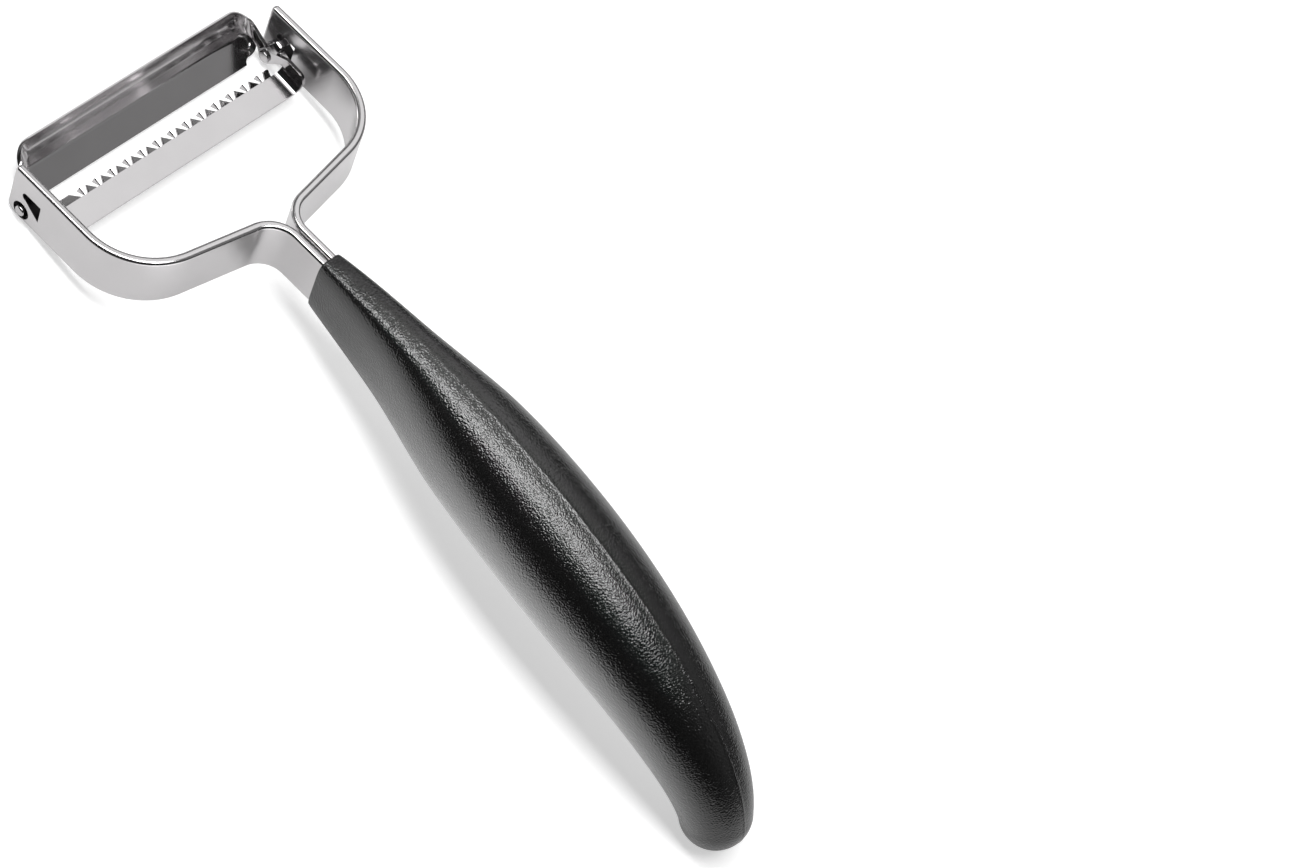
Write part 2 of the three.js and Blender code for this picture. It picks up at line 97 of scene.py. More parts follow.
class PeelerStripSizes(bpy.types.PropertyGroup):
    """The two bent strips of the frame"""
    thickness: length("Thickness", "Thickness of the strip", 2.0)
    width: length("Width", "Height of the strip on edge", 13.2)
    edge_round: length("Edge round", "Rounding of the strip's long edges", 0.8)
    arm_spacing: length("Arm spacing", "Distance between the arms' middles", 70.0)
    corner_radius: length("Corner radius", "Bend from shoulder to arm", 15.7)
    shoulder_slope: turn("Shoulder slope", "Rise of the shoulders towards the arms", 10.3)
    neck_radius: length("Neck radius", "Bend from leg to shoulder", 6.6)
    tip_reach: length("Tip reach", "Distance from the neck bend to the tips", 44.9)
    tip_top_round: length("Tip top round", "Upper corner of the tips", 0.8)
    tip_bottom_round: length("Tip bottom round", "Lower corner of the tips", 2.5)
    leg_gap: length("Leg gap", "Gap between the legs", 0.3)
    neck_length: length("Neck length", "Distance from the bend to the handle's mouth", 8.3)
    seat_depth: length("Seat depth", "How far the full width goes into the mouth", 1.2)
    tang_length: length("Tang length", "Length of strip inside the handle", 42.0)
    tang_height: length("Tang height", "Height of the strip inside the handle", 10.0)
    hole_radius: length("Hole radius", "Hole for the pivot pin", 2.1)
    rim_round: length("Rim round", "Rounding of the hole's and the window's rims", 0.14)


class PeelerBladeSizes(bpy.types.PropertyGroup):
    """The stamped blade and its pivot"""
    pivot_from_tip: length("Pivot from tip", "Pivot axis behind the arm's tip", 3.85)
    pivot_from_top: length("Pivot from top", "Pivot axis below the strip's top edge", 10.5)
    sheet: length("Sheet", "Thickness of the sheet", 0.8)
    side_gap: length("Side gap", "Gap between the ears and the arms", 1.8)
    rim_round: length("Rim round", "Rounding of the sheet's cut edges", 0.16)
    edge_ahead: length("Edge ahead", "Slicing edge ahead of the pivot", 1.05)
    edge_below: length("Edge below", "Slicing edge below the pivot", 1.5)
    tray_slope: turn("Tray slope", "Slope of the tray's flat", 36.0)
    tray_depth: length("Tray depth", "Length of the tray's flat along its slope", 6.0)
    tray_fillet: length("Tray fillet", "Inner radius between the flat and the wall", 2.5)
    wall_slope: turn("Wall slope", "Slope of the front wall", 66.5)
    wall_height: length("Wall height", "Height of the wall along its slope", 6.15)
    foot_slope: turn("Foot slope", "Slope of the wall's foot", 59.5)
    foot_end: length("Foot end", "Height where the foot starts to turn up", 1.9)
    wall_start: length("Wall start", "Height where the wall has its full slope", 2.5)
    flare_start: length("Flare start", "Height where the wall starts to turn out", 3.55)
    flare_slope: turn("Flare slope", "Slope of the wall at its lip", 55.5)
    lip_start: length("Lip start", "Distance from the middle where the lip starts to fall", 27.4)
    lip_end: length("Lip end", "Distance along the fold where the lip becomes the ear's rim", 33.0)
    corner_radius: length("Corner radius", "Bend from the wall to an ear", 3.0)
    ear_fillet: length("Ear fillet", "Inner radius between the flat and an ear", 2.0)
    relief_radius: length("Relief radius", "Notch at each end of the slicing edge", 1.3)
    relief_inset: length("Relief inset", "Notch inside the ear", 2.4)
    comb_behind: length("Comb behind", "Rear edge of the toothed strip behind the pivot", 10.6)
    comb_below: length("Comb below", "Rear edge of the toothed strip below the pivot", 0.2)
    comb_width: length("Comb width", "Width of the toothed strip up to its fold", 5.9)
    comb_tilt: turn("Comb tilt", "Slope of the toothed strip", 5.0)
    comb_bend: length("Comb bend", "Inner radius between the toothed strip and an ear", 2.1)
    land_tilt: turn("Land tilt", "Slope of the lands between the teeth", 48.0)
    land_height: length("Land height", "Height of a land along its slope", 1.65)
    land_shift: length("Land shift", "Slant of a land's upright side", 0.25)
    land_inset: length("Land inset", "Row of lands inside the ears", 2.6)
    land_thickness: length("Land thickness", "Sheet left in the lands", 0.6)
    fin_pitch: length("Fin pitch", "Distance from tooth to tooth", 4.1)
    fin_thickness: length("Fin thickness", "Thickness of a tooth", 0.38)
    fin_length: length("Fin length", "Reach of a tooth past the fold", 1.85)
    fin_depth: length("Fin depth", "Depth of a tooth below its upper edge", 1.75)
    fin_root: length("Fin root", "Root of a tooth behind the fold", 0.3)
    fin_tilt: turn("Fin tilt", "Slope of a tooth's upper edge", 13.0)
    fin_lean: turn("Fin lean", "Sideways lean of a tooth", 8.0)
    fin_bevel: turn("Fin bevel", "Slope of a tooth's sharpened upper edge", 30.0)
    fin_land_gap: length("Fin gap", "Slot between a tooth and the next land", 0.9)
    first_land: length("First land", "Land before the first tooth", 5.6)
    last_land: length("Last land", "Least land after the last tooth", 2.6)
    boss_radius: length("Boss radius", "Ear around the pivot", 1.9)
    rim_above: length("Rim above", "Ear's front rim above the pivot", 2.18)
    rim_slope: turn("Rim slope", "Slope of the ear's front rim", 26.1)
    rear_rise: length("Rear rise", "Ear's rear rim above the toothed strip", 4.2)
    rear_round: length("Rear round", "Ear's rear corner", 2.05)
    crest: length("Crest", "Where the ear's rear rim starts to fall to the pivot", 5.4)
    lug_reach: length("Lug reach", "Stop lug's distance from the pivot", 5.0)
    lug_angle: turn("Lug angle", "Stop lug's place around the pivot", 112.0)
    lug_width: length("Lug width", "Width of the stop lug", 1.6)
    lug_sheet: length("Lug sheet", "Thickness of the stop lug", 0.74)
    lug_root: length("Lug root", "Width of the tab where it leaves the ear", 2.6)
    lug_bend: length("Lug bend", "Bend radius of the tab's middle", 1.3)
    lug_recess: length("Lug recess", "Stop lug's end inside the arm's outer face", 1.2)
    swing_forward: turn("Swing forward", "Swivel towards the head", 13.0)
    swing_back: turn("Swing back", "Swivel towards the handle", 22.0)
    window_clearance: length("Window clearance", "Room around the lug in its window", 0.35)
    window_nose: length("Window nose", "Height of the window's rounded nose", 1.8)
    window_tail: length("Window tail", "Height of the window's rear end", 4.5)
    pin_radius: length("Pin radius", "Radius of the pivot pin", 1.2)
    pin_proud: length("Pin proud", "Pin beyond the arm's outer face", 0.8)
    pin_round: length("Pin round", "Height of the pin's domed end", 0.55)
    collar_radius: length("Collar radius", "Collar beside the arm", 2.1)
    collar_length: length("Collar length", "Thickness of the collar", 0.5)
    collar_gap: length("Collar gap", "Gap between the collar and the arm", 0.3)
    head_radius: length("Head radius", "Rivet head inside the ear", 1.4)
    head_height: length("Head height", "Height of the rivet head", 0.6)
    head_round: length("Head round", "Rounding of the rivet head's rim", 0.2)


class PeelerHandleSizes(bpy.types.PropertyGroup):
    """The moulded handle"""
    mouth_half_width: length("Mouth half width", "Half the mouth's width", 3.1)
    mouth_half_height: length("Mouth half height", "Half the mouth's height", 7.2)
    mouth_round: length("Mouth round", "Rounding of the mouth's rim", 0.35)
    slot_clearance: length("Slot clearance", "Room around the legs in the mouth", 0.12)
    slot_depth: length("Slot depth", "Depth of the open mouth around the legs", 1.5)
    reach: length("Reach", "Distance from mouth to tail centre", 126.6)
    drop: length("Drop", "Fall from mouth to tail centre", 38.8)
    mouth_run: length("Mouth run", "Straightness of the curve at the mouth", 24.4)
    tail_run: length("Tail run", "Lean of the curve at the tail", 12.5)
    tail_rise: length("Tail rise", "Straightness of the curve at the tail", 28.1)
    neck_half_width: length("Neck half width", "Half the width one sixth along", 6.3)
    neck_half_height: length("Neck half height", "Half the height one sixth along", 10.2)
    swell_half_width: length("Swell half width", "Half the width one third along", 11.3)
    swell_half_height: length("Swell half height", "Half the height one third along", 12.6)
    grip_radius: length("Grip radius", "Radius half way along", 13.3)
    rear_radius: length("Rear radius", "Radius two thirds along", 12.7)
    taper_radius: length("Taper radius", "Radius five sixths along", 10.6)
    tail_radius: length("Tail radius", "Radius of the tail", 7.6)
    seam_width: length("Seam width", "Width of the mould's parting line", 0.22)
    seam_height: length("Seam height", "Height of the mould's parting line", 0.07)


class PeelerFinishes(bpy.types.PropertyGroup):
    """Colours of the surfaces"""
    plastic: shade("Plastic", "Black handle plastic", "#0D0D0D")
    plastic_worn: shade("Plastic, lighter", "Rubbed crests of the handle's grain", "#141414")
    strip: shade("Strip", "Tumbled steel of the frame", "#D2D0D1")
    strip_dull: shade("Strip, dull", "Duller patches of the frame", "#C6C4C5")
    sheet: shade("Sheet", "Rolled steel of the blade", "#CDCBCC")
    sheet_dull: shade("Sheet, dull", "Duller patches of the blade", "#C1BFC0")
    # the outer side's two colours are painted shade, darker than the steel so that the gaps between the ears
    # and the arms look shaded
    outer: shade("Sheet, outer side", "Outer side of the blade, left as hardened", "#454344")
    outer_dull: shade("Sheet, outer side, dull", "Darker patches of the outer side", "#383637")
    pin: shade("Pin", "Turned steel of the pins", "#D4D2D3")
    pin_dull: shade("Pin, dull", "Tool marks on the pins", "#B7B5B6")
    floor: shade("Floor", "Pale studio floor", "#DEDEDE")
    floor_mottle: shade("Floor, mottle", "Faint mottle of the floor", "#DBDBDB")


class PeelerStage(bpy.types.PropertyGroup):
    """Camera, lights and floor"""
    camera_place: position("Camera place", "Camera's place in the frame", (-0.42358, -0.05739, 0.71584))
    camera_turn: FloatVectorProperty(
        name="Camera turn", description="Camera's rotation", subtype='EULER',
        default=(math.radians(23.996), math.radians(-24.182), math.radians(-43.167)),
    )
    sensor: amount("Sensor", "Width of the camera's sensor in mm", 36.0)
    lens: amount("Lens", "Focal length in mm", 113.45)
    floor_size: length("Floor size", "Side of the square floor", 6000.0)
    floor_glow: amount("Floor glow", "Light that the floor adds to what the camera sees", 0.55)
    mirror_glow: amount("Mirror glow", "Light that the floor adds to reflections at the head", 0.13)
    pool_glow: amount("Pool glow", "Light that a pool beside the handle adds to reflections", 2.1)
    pool_place: position("Pool place", "Middle of the pool of light", (-0.05, -0.035, 0))
    pool_inner: length("Pool inner radius", "Where the pool of light starts to fade", 20.0)
    pool_outer: length("Pool outer radius", "Where the pool of light ends", 80.0)
    key_level: amount("Key level", "Brightness of the overhead softbox", 10.5)
    key_place: position("Key place", "Middle of the overhead softbox, which points down", (-0.07, 0.35, 1.0))
    key_width: length("Key width", "Width of the overhead softbox", 300.0)
    key_depth: length("Key depth", "Depth of the overhead softbox", 1300.0)
    front_level: amount("Front level", "Brightness of the front panel", 0.82)
    front_place: position("Front place", "Middle of the front panel", (0.75, 0.4, 1.0))
    front_target: position("Front target", "Place that the front panel points at", (0.1, 0.1, 0))
    front_width: length("Front width", "Width of the front panel", 900.0)
    front_depth: length("Front depth", "Depth of the front panel", 1000.0)
    room_level: amount("Room level", "Brightness of the room", 0.4)
    dark_way: FloatVectorProperty(
        name="Dark way", description="Direction in which the room is darkest", subtype='DIRECTION',
        default=(-0.6, -0.25, 0.76),
    )
    dark_start: amount("Dark start", "Cosine from the dark way where the room starts to darken", 0.3)
    dark_full: amount("Dark full", "Cosine from the dark way where the room is darkest", 0.75)
    dark_ratio: amount("Dark ratio", "How many times darker the room is there", 20.0)
    low_height: amount("Low height", "Height of a direction below which the walls are darkest", 0.2)
    low_share: amount("Low share", "Share of the light that the low walls have", 0.05)
    full_height: amount("Full height", "Height of a direction above which the walls are fully lit", 0.5)


class PeelerSettings(bpy.types.PropertyGroup):
    """All of the peeler's settings"""
    strip: PointerProperty(type=PeelerStripSizes)
    blade: PointerProperty(type=PeelerBladeSizes)
    handle: PointerProperty(type=PeelerHandleSizes)
    finish: PointerProperty(type=PeelerFinishes)
    stage: PointerProperty(type=PeelerStage)
    arc_steps: IntProperty(name="Arc steps", description="Steps in a quarter turn of a bend", default=20)
    round_steps: IntProperty(name="Round steps", description="Steps in a rounded edge", default=5)
    rim_steps: IntProperty(name="Rim steps", description="Steps in a rounded rim of a cut", default=2)
    ring_sides: IntProperty(name="Ring sides", description="Sides of pins and holes", default=48)
    handle_rings: IntProperty(name="Handle rings", description="Rings along the handle", default=96)
    handle_sides: IntProperty(name="Handle sides", description="Sides of the handle's rings", default=72)


def settings():
    """The scene's peeler settings."""
    return bpy.context.scene.peeler


def heading(angle):
    """The unit direction at an angle."""
    return Vector((math.cos(angle), math.sin(angle)))


def along(start, angle, distance):
    """The point at a distance from another."""
    return start + heading(angle) * distance


def spread(start, end, count):
    """Numbers at even steps, both ends included."""
    return [start + (end - start) * i / count for i in range(count + 1)]


def arc(centre, radius, start, end, steps):
    """Points of an arc, both ends included."""
    return [along(centre, angle, radius) for angle in spread(start, end, steps)]


def pivot_point():
    """The pivot axis, as a (y, z) point."""
    strip = settings().strip
    blade = settings().blade
    return Vector((strip.tip_reach - blade.pivot_from_tip, -blade.pivot_from_top))


def lying():
    """Turns the level drawing onto its tail and tips, with the pivot on the frame's joint."""
    strip = settings().strip
    handle = settings().handle
    tail = Vector((-strip.neck_length - handle.reach, -strip.width / 2 - handle.drop))
    tip_round = strip.tip_bottom_round
    tip = Vector((strip.tip_reach - tip_round, tip_round - strip.width))
    span = tip - tail
    lean = math.atan2(span.y, span.x) + math.asin((handle.tail_radius - tip_round) / span.length)
    leaning = Matrix.Rotation(-lean, 4, 'X')
    pivot = pivot_point()
    return Matrix.Translation(Vector(SWIVEL["pos_m"]) - leaning @ Vector((0, pivot.x, pivot.y))) @ leaning


def smooth(mesh, crease):
    """Smooth shading, except at the sharp edges."""
    mesh.shade_smooth()
    mesh.set_sharp_from_angle(angle=crease)


def mesh_piece(name, shape, finishes):
    """A mesh object laid on the frame, with the materials that the finishes' functions make."""
    mesh = bpy.data.meshes.new(name)
    shape.to_mesh(mesh)
    shape.free()
    mesh.transform(lying())
    smooth(mesh, CREASE)
    for finish in finishes:
        mesh.materials.append(made_once(finish))
    piece = bpy.data.objects.new(name, mesh)
    bpy.context.collection.objects.link(piece)
    return piece


def seat(piece, body, node):
    """Puts a piece in its node's place."""
    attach(piece, body)
    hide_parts(node)


def apply_modifiers(piece):
    """Keeps what the piece's modifiers make as its own mesh."""
    evaluated = piece.evaluated_get(bpy.context.evaluated_depsgraph_get())
    mesh = bpy.data.meshes.new_from_object(evaluated)
    old = piece.data
    piece.modifiers.clear()
    piece.data = mesh
    mesh.name = piece.name
    bpy.data.meshes.remove(old)


def bridged(shape, rings):
    """Joins rings of equally many points into a closed skin."""
    made = [[shape.verts.new(point) for point in ring] for ring in rings]
    for ring, following in zip(made, made[1:]):
        count = len(ring)
        for i in range(count):
            j = (i + 1) % count
            shape.faces.new((ring[i], ring[j], following[j], following[i]))
    shape.faces.new(made[0][::-1])
    shape.faces.new(made[-1])
    bmesh.ops.recalc_face_normals(shape, faces=shape.faces)


def prism_along_x(shape, outline, start, end):
    """An outline of (y, z) points pulled along x."""
    bridged(shape, [[(x, point.x, point.y) for point in outline] for x in (start, end)])


def combine(piece, other, operation):
    """Cuts another piece from this one or makes them one solid, and removes the other.

    The flat faces are then made whole again, so that their rims can be rounded.
    """
    boolean = piece.modifiers.new("combine", 'BOOLEAN')
    boolean.operation = operation
    boolean.solver = 'EXACT'
    boolean.material_mode = 'TRANSFER'
    boolean.object = other
    apply_modifiers(piece)
    shape = bmesh.new()
    shape.from_mesh(piece.data)
    bmesh.ops.dissolve_degenerate(shape, dist=SLIVER, edges=shape.edges)
    bmesh.ops.dissolve_limit(
        shape, angle_limit=FLAT, verts=shape.verts, edges=shape.edges, delimit={'MATERIAL'}
    )
    if not shape.faces:
        raise RuntimeError("nothing is left of " + piece.name)
    shape.to_mesh(piece.data)
    shape.free()
    mesh = other.data
    bpy.data.objects.remove(other)
    bpy.data.meshes.remove(mesh)


def cut(piece, outlines, start, end):
    """Cuts holes through a piece along x, given as outlines of (y, z) points."""
    shape = bmesh.new()
    for outline in outlines:
        prism_along_x(shape, outline, start, end)
    # the cutter's dark finish passes to the holes' walls as painted shade inside the holes
    combine(piece, mesh_piece("cutter", shape, [sheared_painted_shade_stainless]), 'DIFFERENCE')


def round_edges(piece, width, crease):
    """Rounds the piece's sharp edges."""
    bevel = piece.modifiers.new("rims", 'BEVEL')
    bevel.width = width
    bevel.segments = settings().rim_steps
    bevel.limit_method = 'ANGLE'
    bevel.angle_limit = crease
    bevel.use_clamp_overlap = True
    apply_modifiers(piece)


def keep_flats(piece, crease):
    """Smooth shading in which flat faces stay flat and sharp edges stay sharp."""
    smooth(piece.data, crease)
    weighted = piece.modifiers.new("flat_faces", 'WEIGHTED_NORMAL')
    weighted.keep_sharp = True


def linear(hex_colour):
    """An sRGB hex colour as linear red, green, blue and alpha."""
    channels = [int(hex_colour[i:i + 2], 16) / 255 for i in (1, 3, 5)]
    return [c / 12.92 if c <= 0.04045 else ((c + 0.055) / 1.055) ** 2.4 for c in channels] + [1.0]


def add_node(tree, kind, options=None, **inputs):
    """Adds a node, sets its options, and sets or links its inputs, by name or as _ and a number."""
    node = tree.nodes.new(kind)
    for name, value in (options or {}).items():
        setattr(node, name, value)
    for name, value in inputs.items():
        socket = node.inputs[int(name[1:])] if name[0] == "_" else node.inputs[name.replace("_", " ")]
        if isinstance(value, bpy.types.NodeSocket):
            tree.links.new(value, socket)
        else:
            socket.default_value = value
    return node


def new_material(name):
    """A material with no nodes, and its tree."""
    material = bpy.data.materials.new(name)
    material.use_nodes = True
    material.node_tree.nodes.clear()
    return material, material.node_tree


def per_metre(millimetres):
    """The scale of a texture whose features are this many millimetres across."""
    return 1 / (millimetres * MM)


def moulded_polypropylene():
    """Black polypropylene from a spark-eroded mould: a fine grain that breaks highlights into sparkles."""
    finish = settings().finish
    material, tree = new_material("moulded_polypropylene")
    place = add_node(tree, 'ShaderNodeTexCoord').outputs["Object"]
    # the real grain is finer than a pixel, so it is drawn coarser to show
    grain = add_node(
        tree, 'ShaderNodeTexNoise', Vector=place, Scale=per_metre(0.36), Detail=1.0, Roughness=0.4
    )
    pits = add_node(tree, 'ShaderNodeTexVoronoi', Vector=place, Scale=per_metre(0.4))
    rubbed = add_node(tree, 'ShaderNodeTexNoise', Vector=place, Scale=per_metre(18), Detail=2.0)
    colour = add_node(
        tree, 'ShaderNodeMix', {"data_type": 'RGBA'}, _0=grain.outputs["Fac"],
        _6=linear(finish.plastic), _7=linear(finish.plastic_worn),
    )
    rough = add_node(tree, 'ShaderNodeMapRange', Value=rubbed.outputs["Fac"], To_Min=0.19, To_Max=0.25)
    low = add_node(
        tree, 'ShaderNodeBump', Height=grain.outputs["Fac"], Strength=1.0, Distance=0.09 * MM
    )
    high = add_node(
        tree, 'ShaderNodeBump', Height=pits.outputs["Distance"], Strength=1.0, Distance=0.05 * MM,
        Normal=low.outputs["Normal"],
    )
    # this plastic's IOR is 1.49, raised to give the sparkles their strength
    surface = add_node(
        tree, 'ShaderNodeBsdfPrincipled', Base_Color=colour.outputs[2], Roughness=rough.outputs["Result"],
        IOR=1.7, Normal=high.outputs["Normal"],
    )
    add_node(tree, 'ShaderNodeOutputMaterial', Surface=surface.outputs["BSDF"])
    return material


def steel(name, bright, dull, marks_across, roughness, wave_depth, stretch=(1, 1, 1)):
    """Stainless steel: duller patches, fine stretched marks, and a slow waviness in its reflections.

    Sizes are in millimetres. The real marks are finer than a pixel, so they are drawn coarser to show.
    """
    material, tree = new_material(name)
    place = add_node(tree, 'ShaderNodeTexCoord').outputs["Object"]
    drawn = add_node(tree, 'ShaderNodeMapping', Vector=place, Scale=stretch)
    marks = add_node(
        tree, 'ShaderNodeTexNoise', Vector=drawn.outputs["Vector"], Scale=per_metre(marks_across),
        Detail=4.0, Roughness=0.65,
    )
    patches = add_node(tree, 'ShaderNodeTexNoise', Vector=place, Scale=per_metre(9), Detail=3.0)
    waves = add_node(tree, 'ShaderNodeTexNoise', Vector=place, Scale=per_metre(12), Detail=1.0)
    colour = add_node(
        tree, 'ShaderNodeMix', {"data_type": 'RGBA'}, _0=patches.outputs["Fac"], _6=linear(dull),
        _7=linear(bright),
    )
    rough = add_node(
        tree, 'ShaderNodeMapRange', Value=marks.outputs["Fac"], To_Min=roughness[0], To_Max=roughness[1]
    )
    slow = add_node(
        tree, 'ShaderNodeBump', Height=waves.outputs["Fac"], Strength=0.5, Distance=wave_depth * MM
    )
    fine = add_node(
        tree, 'ShaderNodeBump', Height=marks.outputs["Fac"], Strength=0.12, Distance=0.02 * MM,
        Normal=slow.outputs["Normal"],
    )
    surface = add_node(
        tree, 'ShaderNodeBsdfPrincipled', Base_Color=colour.outputs[2], Metallic=1.0,
        Roughness=rough.outputs["Result"], Normal=fine.outputs["Normal"],
    )
    add_node(tree, 'ShaderNodeOutputMaterial', Surface=surface.outputs["BSDF"])
    return material


def tumbled_stainless():
    """Strip steel tumbled after bending: satin, with soft edges and slightly wavy reflections."""
    finish = settings().finish
    return steel(
        "tumbled_stainless", finish.strip, finish.strip_dull, marks_across=0.5, roughness=(0.16, 0.28),
        wave_depth=0.10,
    )


def rolled_stainless():
    """Cold rolled sheet: bright, with faint marks along the rolling direction."""
    finish = settings().finish
    return steel(
        "rolled_stainless", finish.sheet, finish.sheet_dull, marks_across=0.4, roughness=(0.09, 0.16),
        wave_depth=0.01, stretch=(0.08, 1, 1),
    )


def painted_shade_stainless():
    """The sheet's outer side: dull, with blurred reflections, and darker as painted shade for the narrow gaps
    between the ears and the arms.
    """
    finish = settings().finish
    return steel(
        "painted_shade_stainless", finish.outer, finish.outer_dull, marks_across=0.6, roughness=(0.34, 0.46),
        wave_depth=0.05,
    )


def sheared_painted_shade_stainless():
    """Walls of the punched holes: dull where the punch tore them, and dark beside the satin faces as painted
    shade inside the holes.
    """
    finish = settings().finish
    return steel(
        "sheared_painted_shade_stainless", finish.outer, finish.outer_dull, marks_across=0.3, roughness=(0.3, 0.42),
        wave_depth=0.05,
    )


def turned_stainless():
    """Turned pins: bright, with tool marks around the axis."""
    finish = settings().finish
    return steel(
        "turned_stainless", finish.pin, finish.pin_dull, marks_across=0.15, roughness=(0.14, 0.26),
        wave_depth=0.02, stretch=(1, 0.1, 0.1),
    )


def painted_floor():
    """Matt white paint on a studio floor, which fades to white and keeps the shadow."""
    finish = settings().finish
    stage = settings().stage
    material, tree = new_material("painted_floor")
    place = add_node(tree, 'ShaderNodeTexCoord').outputs["Object"]
    mottle = add_node(tree, 'ShaderNodeTexNoise', Vector=place, Scale=per_metre(300), Detail=2.0)
    colour = add_node(
        tree, 'ShaderNodeMix', {"data_type": 'RGBA'}, _0=mottle.outputs["Fac"],
        _6=linear(finish.floor_mottle), _7=linear(finish.floor),
    )
    paint = add_node(tree, 'ShaderNodeBsdfDiffuse', Color=colour.outputs[2])
    # the camera sees the floor lighter, and reflections see it lighter beside the handle than at the head
    path = add_node(tree, 'ShaderNodeLightPath')
    away = add_node(
        tree, 'ShaderNodeVectorMath', {"operation": 'DISTANCE'}, _0=place, _1=stage.pool_place
    )
    reach = add_node(
        tree, 'ShaderNodeMapRange', Value=away.outputs["Value"], From_Min=stage.pool_inner,
        From_Max=stage.pool_outer, To_Min=stage.pool_glow, To_Max=stage.mirror_glow,
    )
    mirror = add_node(
        tree, 'ShaderNodeMath', {"operation": 'MULTIPLY'}, _0=path.outputs["Is Glossy Ray"],
        _1=reach.outputs["Result"],
    )
    level = add_node(
        tree, 'ShaderNodeMath', {"operation": 'MULTIPLY_ADD'}, _0=path.outputs["Is Camera Ray"],
        _1=stage.floor_glow, _2=mirror.outputs[0],
    )
    glow = add_node(tree, 'ShaderNodeEmission', Strength=level.outputs[0])
    both = add_node(tree, 'ShaderNodeAddShader', _0=paint.outputs["BSDF"], _1=glow.outputs["Emission"])
    add_node(tree, 'ShaderNodeOutputMaterial', Surface=both.outputs["Shader"])
    return material


def made_once(make):
    """The material that a function makes, or made before."""
    return bpy.data.materials.get(make.__name__) or make()


def strip_stations():
    """Stations of the right-hand strip: place, side direction, half thickness, top and bottom."""
    sizes = settings().strip
    steps = settings().arc_steps
    half = sizes.thickness / 2
    leg = (sizes.leg_gap + sizes.thickness) / 2
    slope = sizes.shoulder_slope
    bend = Vector((leg + sizes.neck_radius, 0))
    bend_end = QUARTER + slope
    corner_start = slope - QUARTER
    leave = along(bend, bend_end, sizes.neck_radius)
    arm_x = sizes.arm_spacing / 2
    arrive_x = arm_x - sizes.corner_radius * (1 - math.cos(corner_start))
    arrive = along(leave, slope, (arrive_x - leave.x) / math.cos(slope))
    corner = along(arrive, bend_end, sizes.corner_radius)

    middle = -sizes.width / 2
    tang = (middle + sizes.tang_height / 2, middle - sizes.tang_height / 2)
    mouth = -sizes.neck_length
    shoulder = mouth - sizes.seat_depth
    leg_side = Vector((1, 0))
    stations = [
        (Vector((leg, mouth - sizes.tang_length)), leg_side, half, *tang),
        (Vector((leg, shoulder - sizes.edge_round)), leg_side, half, *tang),
        (Vector((leg, shoulder)), leg_side, half, 0, -sizes.width),
    ]
    for angle in spread(math.pi, bend_end, steps):
        stations.append((along(bend, angle, sizes.neck_radius), -heading(angle), half, 0, -sizes.width))
    for angle in spread(corner_start, 0, steps):
        stations.append((along(corner, angle, sizes.corner_radius), heading(angle), half, 0, -sizes.width))

    # the tip's corners and edges are rounded by drawing the last stations in
    rounds = (sizes.tip_bottom_round, sizes.tip_top_round, sizes.edge_round)
    shares = [math.sin(angle) for angle in spread(0, QUARTER, steps)]
    decimals = 7  # places that agree to these are one station
    places = sorted({round(sizes.tip_reach - r + r * share, decimals) for r in rounds for share in shares})
    for place in places:
        into = [max(place - (sizes.tip_reach - r), 0) for r in rounds]
        low, high, thin = [r - math.sqrt(max(r * r - d * d, 0)) for r, d in zip(rounds, into)]
        stations.append((Vector((arm_x, place)), leg_side, half - thin, -high, low - sizes.width))
    return stations


def strip_ring(station, side):
    """A rounded rectangle across the strip at one station."""
    place, across, half, top, bottom = station
    round_radius = min(settings().strip.edge_round, half)
    steps = settings().round_steps
    corners = [
        (half - round_radius, top - round_radius, 0),
        (round_radius - half, top - round_radius, QUARTER),
        (round_radius - half, bottom + round_radius, math.pi),
        (half - round_radius, bottom + round_radius, 3 * QUARTER),
    ]
    ring = []
    for offset, height, start in corners:
        for point in arc(Vector((offset, height)), round_radius, start, start + QUARTER, steps):
            spot = place + across * point.x
            ring.append((side * spot.x, spot.y, point.y))
    return ring


def window_outline():
    """The window that the stop lug swings in: a rounded nose, a square tail and a slanted lower edge."""
    sizes = settings().blade
    pivot = pivot_point()
    outer = sizes.lug_reach + sizes.sheet / 2
    lug_half = math.asin(sizes.lug_width / 2 / sizes.lug_reach)
    top = pivot.y + outer + sizes.window_clearance
    tail = along(pivot, sizes.lug_angle + sizes.swing_back + lug_half, outer).x - sizes.window_clearance
    nose = along(pivot, sizes.lug_angle - sizes.swing_forward - lug_half, outer).x + sizes.window_clearance
    half_nose = sizes.window_nose / 2
    centre = Vector((nose - half_nose, top - half_nose))
    rounded = arc(centre, half_nose, -QUARTER, QUARTER, settings().arc_steps)
    return [Vector((tail, top)), Vector((tail, top - sizes.window_tail)), *rounded]


def ring_outline(centre, radius):
    """The corners of a many-sided circle."""
    sides = settings().ring_sides
    return arc(centre, radius, 0, 2 * math.pi * (sides - 1) / sides, sides - 1)


class PEELER_OT_arms(bpy.types.Operator):
    """Build the two bent strips of the frame"""
    bl_idname = "peeler.arms"
    bl_label = "Arms"

    def execute(self, context):
        sizes = settings().strip
        spacing = sizes.arm_spacing
        for word, side in SIDES.items():
            shape = bmesh.new()
            bridged(shape, [strip_ring(station, side) for station in strip_stations()])
            piece = mesh_piece(word + "_strip", shape, [tumbled_stainless])
            holes = [ring_outline(pivot_point(), sizes.hole_radius), window_outline()]
            cut(piece, holes, *sorted((side * spacing / 4, side * spacing)))
            round_edges(piece, sizes.rim_round, STRIP_CREASE)
            keep_flats(piece, STRIP_CREASE)
            seat(piece, "frame", word + "_arm")
        return {'FINISHED'}


